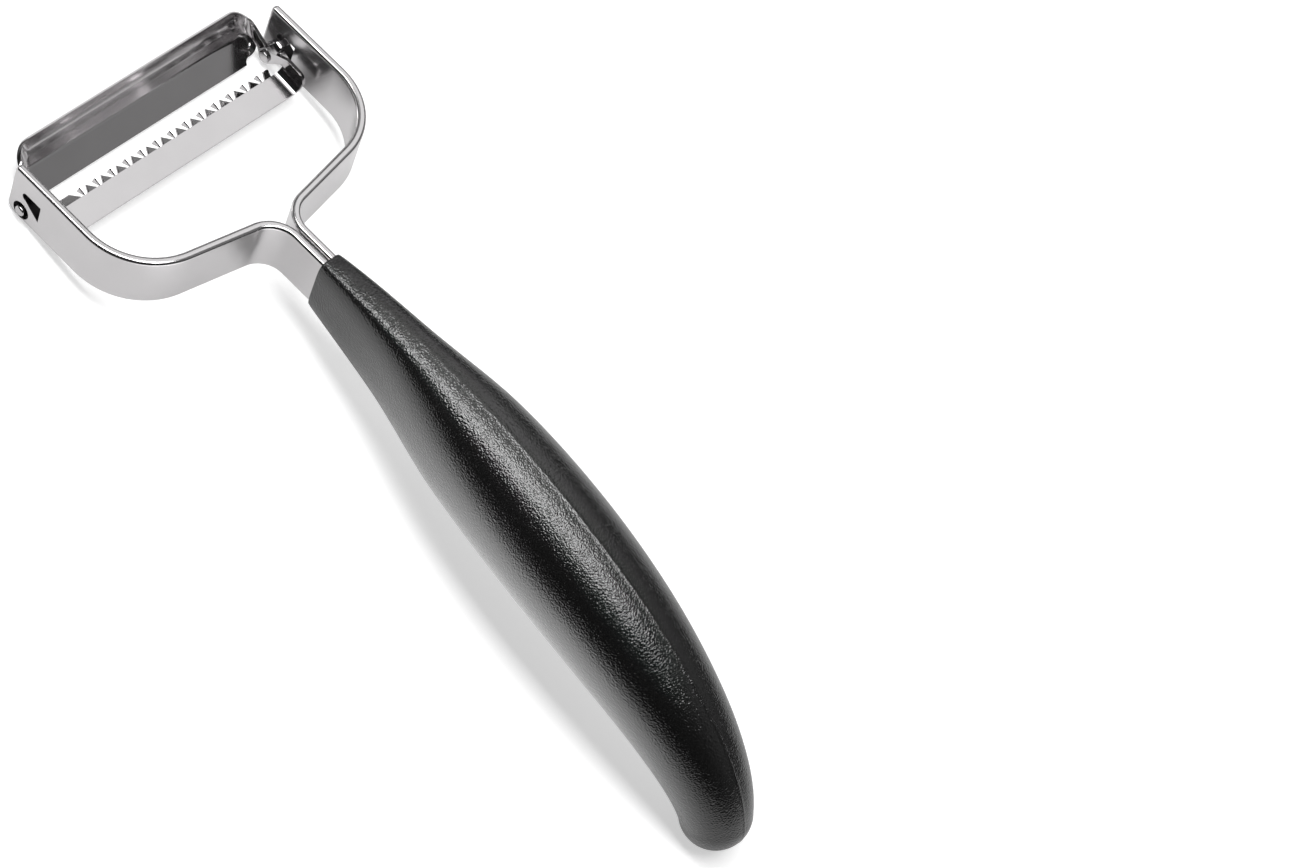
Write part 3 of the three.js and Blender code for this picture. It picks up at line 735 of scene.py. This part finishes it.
def spread_evenly(points, count):
    """Points at even distances along a fine polyline, with the direction at each."""
    ends = [0.0]
    for start, end in zip(points, points[1:]):
        ends.append(ends[-1] + (end - start).length)
    placed = []
    index = 0
    for i in range(count + 1):
        wanted = ends[-1] * i / count
        while index < len(points) - 2 and ends[index + 1] < wanted:
            index += 1
        step = points[index + 1] - points[index]
        share = (wanted - ends[index]) / (ends[index + 1] - ends[index])
        placed.append((points[index] + step * share, step.normalized()))
    return placed


def through(points, share):
    """The point at a share of the way along a smooth curve through points."""
    place = share * (len(points) - 1)
    i = min(int(place), len(points) - 2)
    t = place - i
    before = points[i - 1] if i > 0 else points[0] * 2 - points[1]
    after = points[i + 2] if i + 2 < len(points) else points[-1] * 2 - points[-2]
    leave = (points[i + 1] - before) / 2
    arrive = (after - points[i]) / 2
    rise = points[i + 1] - points[i]
    bend = rise * 3 - leave * 2 - arrive
    twist = leave + arrive - rise * 2
    return points[i] + leave * t + bend * t ** 2 + twist * t ** 3


def handle_spine():
    """The drooping curve that the handle follows, from mouth to tail centre, as (y, z) points."""
    sizes = settings().handle
    strip = settings().strip
    mouth = Vector((-strip.neck_length, -strip.width / 2))
    tail = mouth + Vector((-sizes.reach, -sizes.drop))
    mouth_pull = mouth + Vector((-sizes.mouth_run, 0))
    tail_pull = tail + Vector((sizes.tail_run, sizes.tail_rise))
    fine = 40 * settings().handle_rings  # steps so short that the rings come out evenly spaced
    points = []
    for t in spread(0, 1, fine):
        points.append(
            mouth * (1 - t) ** 3 + mouth_pull * 3 * t * (1 - t) ** 2 + tail_pull * 3 * t ** 2 * (1 - t)
            + tail * t ** 3
        )
    return spread_evenly(points, settings().handle_rings)


def handle_swell():
    """Half width, half height and squareness at even steps along the handle."""
    sizes = settings().handle
    return [
        Vector((sizes.mouth_half_width, sizes.mouth_half_height, 5)),
        Vector((sizes.neck_half_width, sizes.neck_half_height, 3)),
        Vector((sizes.swell_half_width, sizes.swell_half_height, 2.3)),
        Vector((sizes.grip_radius, sizes.grip_radius, ROUND)),
        Vector((sizes.rear_radius, sizes.rear_radius, ROUND)),
        Vector((sizes.taper_radius, sizes.taper_radius, ROUND)),
        Vector((sizes.tail_radius, sizes.tail_radius, ROUND)),
    ]


def handle_ring(centre, forward, half_width, half_height, squareness, seam):
    """A squared ellipse across the handle, with the parting line's ridge at top and bottom."""
    sizes = settings().handle
    upward = Vector((forward.y, -forward.x))
    sides = settings().handle_sides
    foot = sizes.seam_width / max(half_width, sizes.mouth_half_width)
    top = foot / 3
    angles = []
    for i in range(sides):
        angle = 2 * math.pi * i / sides
        if i % (sides // 2) == sides // 4:
            ridge = [(-foot, 0), (-top, seam), (top, seam), (foot, 0)]
            angles.extend((angle + shift, height) for shift, height in ridge)
        else:
            angles.append((angle, 0))
    ring = []
    for angle, ridge in angles:
        across, above = math.cos(angle), math.sin(angle)
        x = math.copysign(abs(across) ** (ROUND / squareness), across) * half_width
        up = math.copysign(abs(above) ** (ROUND / squareness), above) * (half_height + ridge)
        spot = centre + upward * up
        ring.append((x, spot.x, spot.y))
    return ring


class PEELER_OT_handle(bpy.types.Operator):
    """Build the moulded handle"""
    bl_idname = "peeler.handle"
    bl_label = "Handle"

    def execute(self, context):
        sizes = settings().handle
        strip = settings().strip
        steps = settings().arc_steps
        spine = handle_spine()
        swell = handle_swell()
        mouth, forward = spine[0]
        rings = []

        # the slot around the legs, then the rounded rim of the mouth
        slot_width = strip.leg_gap / 2 + strip.thickness + sizes.slot_clearance
        slot_height = strip.width / 2 + sizes.slot_clearance
        slot_squareness = 16
        for depth in (sizes.slot_depth, 0):
            rings.append(handle_ring(
                mouth + forward * depth, forward, slot_width, slot_height, slot_squareness, 0
            ))
        rim = sizes.mouth_round
        for angle in spread(0, QUARTER, steps):
            inset = rim * (1 - math.sin(angle))
            rings.append(handle_ring(
                mouth + forward * rim * (1 - math.cos(angle)), forward, sizes.mouth_half_width - inset,
                sizes.mouth_half_height - inset, swell[0].z, 0,
            ))
        for i, (centre, direction) in enumerate(spine[1:], start=1):
            half_width, half_height, squareness = through(swell, i / (len(spine) - 1))
            rings.append(handle_ring(
                centre, direction, half_width, half_height, squareness, sizes.seam_height
            ))

        # the round tail, with a small face at its end
        tail, backward = spine[-1]
        for angle in spread(0, QUARTER, steps)[1:-1]:
            radius = sizes.tail_radius * math.cos(angle)
            rings.append(handle_ring(
                tail + backward * sizes.tail_radius * math.sin(angle), backward, radius, radius, ROUND,
                sizes.seam_height * math.cos(angle),
            ))
        shape = bmesh.new()
        bridged(shape, rings)
        piece = mesh_piece("grip", shape, [moulded_polypropylene])
        seat(piece, "frame", "handle")
        return {'FINISHED'}


def ear_places():
    """Inner and outer faces of the right-hand ear."""
    strip = settings().strip
    sizes = settings().blade
    outer = strip.arm_spacing / 2 - strip.thickness / 2 - sizes.side_gap
    return outer - sizes.sheet, outer


def comb_point(ahead, above=0.0):
    """A point beside the toothed strip, measured from its rear edge."""
    sizes = settings().blade
    rear = pivot_point() - Vector((sizes.comb_behind, sizes.comb_below))
    return along(along(rear, sizes.comb_tilt, ahead), sizes.comb_tilt + QUARTER, above)


def tray_fold(place):
    """Point (x, along the slope) of the tray's fold this far from its middle, and the way outward."""
    sizes = settings().blade
    inner, _ = ear_places()
    radius = sizes.corner_radius
    straight = inner - radius
    angle = min(max((place - straight) / radius, 0), QUARTER)
    outward = Vector((math.sin(angle), math.cos(angle)))
    beyond = max(place - straight - radius * QUARTER, 0)
    centre = Vector((min(place, straight), sizes.tray_depth - radius - beyond))
    return centre + outward * radius, outward


def on_flat(point):
    """A point of the tray's flat, given as x and the distance from the slicing edge."""
    sizes = settings().blade
    edge = pivot_point() + Vector((sizes.edge_ahead, -sizes.edge_below))
    place = along(edge, sizes.tray_slope, point.y)
    return Vector((point.x, place.x, place.y))


def rim_line():
    """A point of the ear's front rim and its direction."""
    sizes = settings().blade
    return pivot_point() + Vector((0, sizes.rim_above)), heading(sizes.rim_slope)


def wall_rise(place):
    """Height of the wall above the fold: level along the lip, then falling to the ear's rim."""
    sizes = settings().blade
    if place <= sizes.lip_start:
        return sizes.wall_height
    fold, _ = tray_fold(max(place, sizes.lip_end))
    spot = on_flat(fold)
    start, slope = rim_line()
    ear = (start - Vector((spot.y, spot.z))).cross(slope) / heading(sizes.wall_slope).cross(slope)
    share = min((place - sizes.lip_start) / (sizes.lip_end - sizes.lip_start), 1)
    return sizes.wall_height + (ear - sizes.wall_height) * (1 - math.cos(math.pi * share)) / 2


def slope_at(share, outward):
    """Slope of the wall at a share of its height: foot, wall and flared lip, which fade out on an ear."""
    sizes = settings().blade
    marks = [
        (0, sizes.foot_slope), (sizes.foot_end, sizes.foot_slope), (sizes.wall_start, sizes.wall_slope),
        (sizes.flare_start, sizes.wall_slope), (sizes.wall_height, sizes.flare_slope),
    ]
    height = share * sizes.wall_height
    for (low, before), (high, after) in zip(marks, marks[1:]):
        if height <= high:
            slope = before + (after - before) * (height - low) / (high - low)
            break
    return slope + (sizes.wall_slope - slope) * outward.x


def tray_profile(place):
    """Section of the tray across its fold: a rounded bend, then the wall up to its rim."""
    sizes = settings().blade
    steps = settings().arc_steps // 2
    fold, outward = tray_fold(place)
    foot = slope_at(0, outward)
    bend = math.acos(outward.y * math.cos(foot - sizes.tray_slope))
    radius = sizes.tray_fillet + (sizes.ear_fillet - sizes.tray_fillet) * outward.x
    tangent = radius * math.tan(bend / 2)
    wall = heading(foot)
    upward = Vector((0, wall.x, wall.y))
    corner = on_flat(fold)
    start = on_flat(fold - outward * tangent)
    end = corner + upward * tangent

    # the bend is an arc, drawn as a weighted curve towards its corner
    profile = []
    for t in spread(0, 1, steps):
        weights = ((1 - t) ** 2, 2 * math.cos(bend / 2) * t * (1 - t), t ** 2)
        total = start * weights[0] + corner * weights[1] + end * weights[2]
        profile.append(total / sum(weights))

    rise = wall_rise(place)
    step = (rise - tangent) / steps / 2
    spot = end
    for i in range(steps * 2):
        slope = heading(slope_at((tangent + step * (i + 0.5)) / rise, outward))
        spot = spot + Vector((0, slope.x, slope.y)) * step
        profile.append(spot)
    return profile


def mirrored(points):
    """The points on the other side of the middle."""
    return [Vector((-point[0], point[1], point[2])) for point in points]


def patched(shape, rows):
    """Faces between rows of vertices, open at all sides."""
    for row, following in zip(rows, rows[1:]):
        for i in range(len(row) - 1):
            shape.faces.new((row[i], row[i + 1], following[i + 1], following[i]))


def ear_outline():
    """The ear's free outline, from its front rim over the rear rim to the toothed strip."""
    sizes = settings().blade
    start, slope = rim_line()
    rise = sizes.comb_tilt + QUARTER
    corner = comb_point(sizes.rear_round, sizes.rear_rise - sizes.rear_round)
    rear = arc(corner, sizes.rear_round, rise, rise + QUARTER, settings().arc_steps // 2)
    behind = sizes.boss_radius / 5  # the front rim ends a little behind the pivot
    return [start - slope * behind, comb_point(sizes.crest, sizes.rear_rise), *rear]


def blade_skin(shape):
    """The blade's inner skin: tray, toothed strip and both ears, with rounded bends between them."""
    sizes = settings().blade
    steps = settings().arc_steps
    inner, _ = ear_places()
    ear_start = inner - sizes.corner_radius + sizes.corner_radius * QUARTER
    ear_end = ear_start + sizes.tray_depth - sizes.corner_radius - sizes.relief_radius
    places = [0, *spread(sizes.lip_start, ear_start, steps), *spread(ear_start, ear_end, 2)[1:]]
    half = [tray_profile(place) for place in places]
    whole = [mirrored(profile) for profile in reversed(half[1:])] + half
    rows = [[shape.verts.new(point) for point in profile] for profile in whole]
    patched(shape, rows)

    notch = Vector((inner - sizes.relief_inset, 0))
    right = [on_flat(point) for point in arc(notch, sizes.relief_radius, QUARTER, math.pi, steps // 2)]
    rear = right + mirrored(reversed(right))
    shape.faces.new([row[0] for row in rows] + [shape.verts.new(point) for point in rear])

    bend = sizes.comb_bend
    middle = Vector((inner - bend, bend))
    half = arc(middle, bend, 3 * QUARTER, 2 * math.pi, steps // 2)
    section = [Vector((-point.x, point.y)) for point in reversed(half)] + half
    comb = []
    for ahead in (0, sizes.comb_width):
        spots = [(point.x, comb_point(ahead, point.y)) for point in section]
        comb.append([shape.verts.new((x, spot.x, spot.y)) for x, spot in spots])
    patched(shape, comb)

    # the ear is round below the pivot, between the toothed strip and the tray
    boss_start, boss_end = 1.2 * math.pi, 1.83 * math.pi
    boss = arc(pivot_point(), sizes.boss_radius, boss_start, boss_end, steps // 2)
    for side, last, end in ((-1, rows[0], 0), (1, rows[-1], -1)):
        free = [shape.verts.new((side * inner, point.x, point.y)) for point in ear_outline()]
        below = [shape.verts.new((side * inner, point.x, point.y)) for point in boss]
        shape.faces.new([*last[steps // 2:], *free, comb[0][end], comb[1][end], *below])
    bmesh.ops.recalc_face_normals(shape, faces=shape.faces)
    flat = max(shape.faces, key=lambda face: face.calc_area())
    if flat.normal.z < 0:
        bmesh.ops.reverse_faces(shape, faces=shape.faces)


def tab(shape, side):
    """The tab that rises from an ear and bends out through the arm's window as the stop lug."""
    sizes = settings().blade
    strip = settings().strip
    inner, outer = ear_places()
    middle = (inner + outer) / 2
    end = strip.arm_spacing / 2 + strip.thickness / 2 - sizes.lug_recess
    bend = sizes.lug_bend
    upward = heading(sizes.lug_angle)
    sideways = heading(sizes.lug_angle - QUARTER)
    path = [(sizes.boss_radius / 2, middle, 0)]
    for angle in spread(0, QUARTER, settings().arc_steps // 2):
        path.append((
            sizes.lug_reach - bend + bend * math.sin(angle), middle + bend - bend * math.cos(angle), angle
        ))
    path.append((sizes.lug_reach, end, QUARTER))
    rings = []
    for radial, x, angle in path:
        share = angle / QUARTER
        half_width = (sizes.lug_root + (sizes.lug_width - sizes.lug_root) * share) / 2
        ring = []
        for across, out in ((1, 1), (-1, 1), (-1, -1), (1, -1)):
            reach = radial + out * math.sin(angle) * sizes.lug_sheet / 2
            spot = pivot_point() + upward * reach + sideways * across * half_width
            ring.append((side * (x - out * math.cos(angle) * sizes.lug_sheet / 2), spot.x, spot.y))
        rings.append(ring)
    bridged(shape, rings)


def teeth(shape):
    """Lands bent up and fins bent down along the front of the toothed strip."""
    sizes = settings().blade
    inner, _ = ear_places()
    half = inner - sizes.land_inset
    room = 2 * half - sizes.first_land - sizes.last_land
    count = math.floor(room / sizes.fin_pitch) + 1
    places = [i * sizes.fin_pitch + sizes.first_land - half for i in range(count)]
    fold = comb_point(sizes.comb_width)

    def land(points):
        """A plate that stands up from the fold, given as x and height along its slope."""
        rings = []
        for depth in (0, -sizes.land_thickness):
            ring = []
            for x, height in points:
                spot = along(along(fold, sizes.land_tilt, height), sizes.land_tilt + QUARTER, depth)
                ring.append((x, spot.x, spot.y))
            rings.append(ring)
        bridged(shape, rings)

    foot = -sizes.land_thickness
    tall = sizes.land_height
    first = places[0]
    land([(-half, foot), (first, foot), (first - sizes.fin_pitch + sizes.fin_land_gap, tall), (-half, tall)])
    for i, place in enumerate(places):
        begin = place + sizes.fin_land_gap
        peak = begin + sizes.land_shift
        if i < count - 1:
            land([(begin, foot), (place + sizes.fin_pitch, foot), (peak, tall)])
        else:
            land([(begin, foot), (half, foot), (half - sizes.land_shift, tall), (peak, tall)])
        fin(shape, place)


def fin(shape, place):
    """One tooth: a leaning triangle that hangs from its upper edge."""
    sizes = settings().blade
    fold = comb_point(sizes.comb_width)
    lean = math.tan(sizes.fin_lean)
    bevel = math.tan(sizes.fin_bevel)
    downward = heading(sizes.fin_tilt - QUARTER)
    rear = along(fold, sizes.fin_tilt, -sizes.fin_root)
    front = along(fold, sizes.fin_tilt, sizes.fin_length)
    rings = []
    for offset in (0, sizes.fin_thickness):
        drop = downward * (sizes.fin_thickness - offset) * bevel
        point = front + downward * sizes.fin_depth
        rings.append([
            (place + offset, rear.x + drop.x, rear.y + drop.y),
            (place + offset, front.x + drop.x, front.y + drop.y),
            (place + offset - sizes.fin_depth * lean, point.x, point.y),
        ])
    bridged(shape, rings)


class PEELER_OT_blade(bpy.types.Operator):
    """Build the stamped blade with its tray, teeth, ears and stop lugs"""
    bl_idname = "peeler.blade"
    bl_label = "Blade"

    def execute(self, context):
        sizes = settings().blade
        skin = bmesh.new()
        blade_skin(skin)
        finishes = [rolled_stainless, painted_shade_stainless]
        piece = mesh_piece("stamped_blade", skin, finishes)
        sheet = piece.modifiers.new("sheet", 'SOLIDIFY')
        sheet.thickness = sizes.sheet
        sheet.offset = -1
        sheet.use_even_offset = True
        # the sheet's outer side takes the second finish, whose dark colour is painted shade
        sheet.material_offset = 1
        apply_modifiers(piece)

        # the tabs' outer sides have the outer finish, as the ears have, so the lugs in their windows carry
        # the same painted shade
        shape = bmesh.new()
        for side in SIDES.values():
            tab(shape, side)
        facing = 0.7
        for face in shape.faces:
            if face.normal.x * face.calc_center_median().x > 0 and abs(face.normal.x) > facing:
                face.material_index = finishes.index(painted_shade_stainless)
        teeth(shape)
        tabs_and_teeth = mesh_piece("tabs_and_teeth", shape, finishes)
        for solid in (piece, tabs_and_teeth):
            round_edges(solid, sizes.rim_round, CREASE)
        combine(piece, tabs_and_teeth, 'UNION')
        keep_flats(piece, CREASE)
        seat(piece, "blade", "blade")
        return {'FINISHED'}


class PEELER_OT_pins(bpy.types.Operator):
    """Build the two riveted pivot pins"""
    bl_idname = "peeler.pins"
    bl_label = "Pivot pins"

    def execute(self, context):
        sizes = settings().blade
        strip = settings().strip
        steps = settings().round_steps
        inner, _ = ear_places()
        arm_inner = strip.arm_spacing / 2 - strip.thickness / 2
        end = strip.arm_spacing / 2 + strip.thickness / 2 + sizes.pin_proud
        collar_end = arm_inner - sizes.collar_gap
        collar_start = collar_end - sizes.collar_length
        rim = sizes.head_round
        rim_centre = Vector((inner - sizes.head_height + rim, sizes.head_radius - rim))
        profile = [tuple(point) for point in arc(rim_centre, rim, math.pi, QUARTER, steps)]
        profile += [
            (inner, sizes.head_radius), (inner, sizes.pin_radius), (collar_start, sizes.pin_radius),
            (collar_start, sizes.collar_radius), (collar_end, sizes.collar_radius),
            (collar_end, sizes.pin_radius),
        ]
        dome = sizes.pin_round
        for angle in spread(0, QUARTER, steps * 2)[:-1]:
            profile.append((end - dome + dome * math.sin(angle), sizes.pin_radius * math.cos(angle)))
        for word, side in SIDES.items():
            shape = bmesh.new()
            rings = []
            for x, radius in profile:
                rings.append([(side * x, *point) for point in ring_outline(pivot_point(), radius)])
            bridged(shape, rings)
            piece = mesh_piece(word + "_pin", shape, [turned_stainless])
            seat(piece, "blade", word + "_pivot_pin")
        return {'FINISHED'}


def softbox(name, place, target, width, depth, radiance):
    """A rectangular lamp whose face has the given brightness."""
    lamp = bpy.data.lights.new(name, 'AREA')
    lamp.shape = 'RECTANGLE'
    lamp.size = width
    lamp.size_y = depth
    lamp.energy = radiance * math.pi * width * depth
    holder = bpy.data.objects.new(name, lamp)
    holder.location = place
    holder.rotation_euler = (Vector(target) - Vector(place)).to_track_quat('-Z', 'Y').to_euler()
    bpy.context.collection.objects.link(holder)


class PEELER_OT_stage(bpy.types.Operator):
    """Set up the floor, the lights and the camera"""
    bl_idname = "peeler.stage"
    bl_label = "Stage"

    def execute(self, context):
        stage = settings().stage
        scene = context.scene
        scene.view_settings.view_transform = 'Standard'

        half = stage.floor_size / 2
        mesh = bpy.data.meshes.new("floor")
        corners = [(-half, -half, 0), (half, -half, 0), (half, half, 0), (-half, half, 0)]
        mesh.from_pydata(corners, [], [range(len(corners))])
        mesh.materials.append(made_once(painted_floor))
        floor = bpy.data.objects.new("floor", mesh)
        context.collection.objects.link(floor)

        below = (*stage.key_place[:2], 0)
        softbox(
            "overhead_softbox", stage.key_place, below, stage.key_width, stage.key_depth, stage.key_level
        )
        softbox(
            "front_panel", stage.front_place, stage.front_target, stage.front_width, stage.front_depth,
            stage.front_level,
        )

        # a room that is darker on one side and near the floor
        world = bpy.data.worlds.new("studio")
        scene.world = world
        world.use_nodes = True
        tree = world.node_tree
        tree.nodes.clear()
        way = add_node(tree, 'ShaderNodeTexCoord').outputs["Generated"]
        dark = add_node(
            tree, 'ShaderNodeVectorMath', {"operation": 'DOT_PRODUCT'}, _0=way, _1=stage.dark_way
        )
        side = add_node(
            tree, 'ShaderNodeMapRange', Value=dark.outputs["Value"], From_Min=stage.dark_start,
            From_Max=stage.dark_full, To_Min=stage.room_level, To_Max=stage.room_level / stage.dark_ratio,
        )
        rise = add_node(tree, 'ShaderNodeSeparateXYZ', Vector=way)
        height = add_node(
            tree, 'ShaderNodeMapRange', Value=rise.outputs["Z"], From_Min=stage.low_height,
            From_Max=stage.full_height, To_Min=stage.low_share, To_Max=1.0,
        )
        level = add_node(
            tree, 'ShaderNodeMath', {"operation": 'MULTIPLY'}, _0=side.outputs["Result"],
            _1=height.outputs["Result"],
        )
        room = add_node(tree, 'ShaderNodeBackground', Strength=level.outputs[0])
        add_node(tree, 'ShaderNodeOutputWorld', Surface=room.outputs["Background"])

        camera = bpy.data.cameras.new("camera")
        camera.sensor_width = stage.sensor
        camera.sensor_fit = 'HORIZONTAL'
        camera.lens = stage.lens
        camera.clip_start = 10 * MM
        holder = bpy.data.objects.new("camera", camera)
        holder.location = stage.camera_place
        holder.rotation_euler = stage.camera_turn
        context.collection.objects.link(holder)
        scene.camera = holder
        return {'FINISHED'}


OPERATORS = (PEELER_OT_arms, PEELER_OT_handle, PEELER_OT_blade, PEELER_OT_pins, PEELER_OT_stage)


class PEELER_PT_panel(bpy.types.Panel):
    """Lists the peeler's pieces"""
    bl_idname = "PEELER_PT_panel"
    bl_label = "Julienne peeler"
    bl_space_type = 'VIEW_3D'
    bl_region_type = 'UI'
    bl_category = "Peeler"

    def draw(self, context):
        for operator in OPERATORS:
            self.layout.operator(operator.bl_idname)


CLASSES = (
    PeelerStripSizes, PeelerBladeSizes, PeelerHandleSizes, PeelerFinishes, PeelerStage, PeelerSettings,
    *OPERATORS, PEELER_PT_panel,
)


def register():
    """Adds the classes and the scene's settings."""
    for item in CLASSES:
        bpy.utils.register_class(item)
    bpy.types.Scene.peeler = PointerProperty(type=PeelerSettings)


def unregister():
    """Takes the settings and the classes away."""
    del bpy.types.Scene.peeler
    for item in reversed(CLASSES):
        bpy.utils.unregister_class(item)


def main():
    """Builds all pieces and the stage."""
    register()
    for operator in OPERATORS:
        group, name = operator.bl_idname.split(".")
        getattr(getattr(bpy.ops, group), name)()


if __name__ == "__main__":
    main()
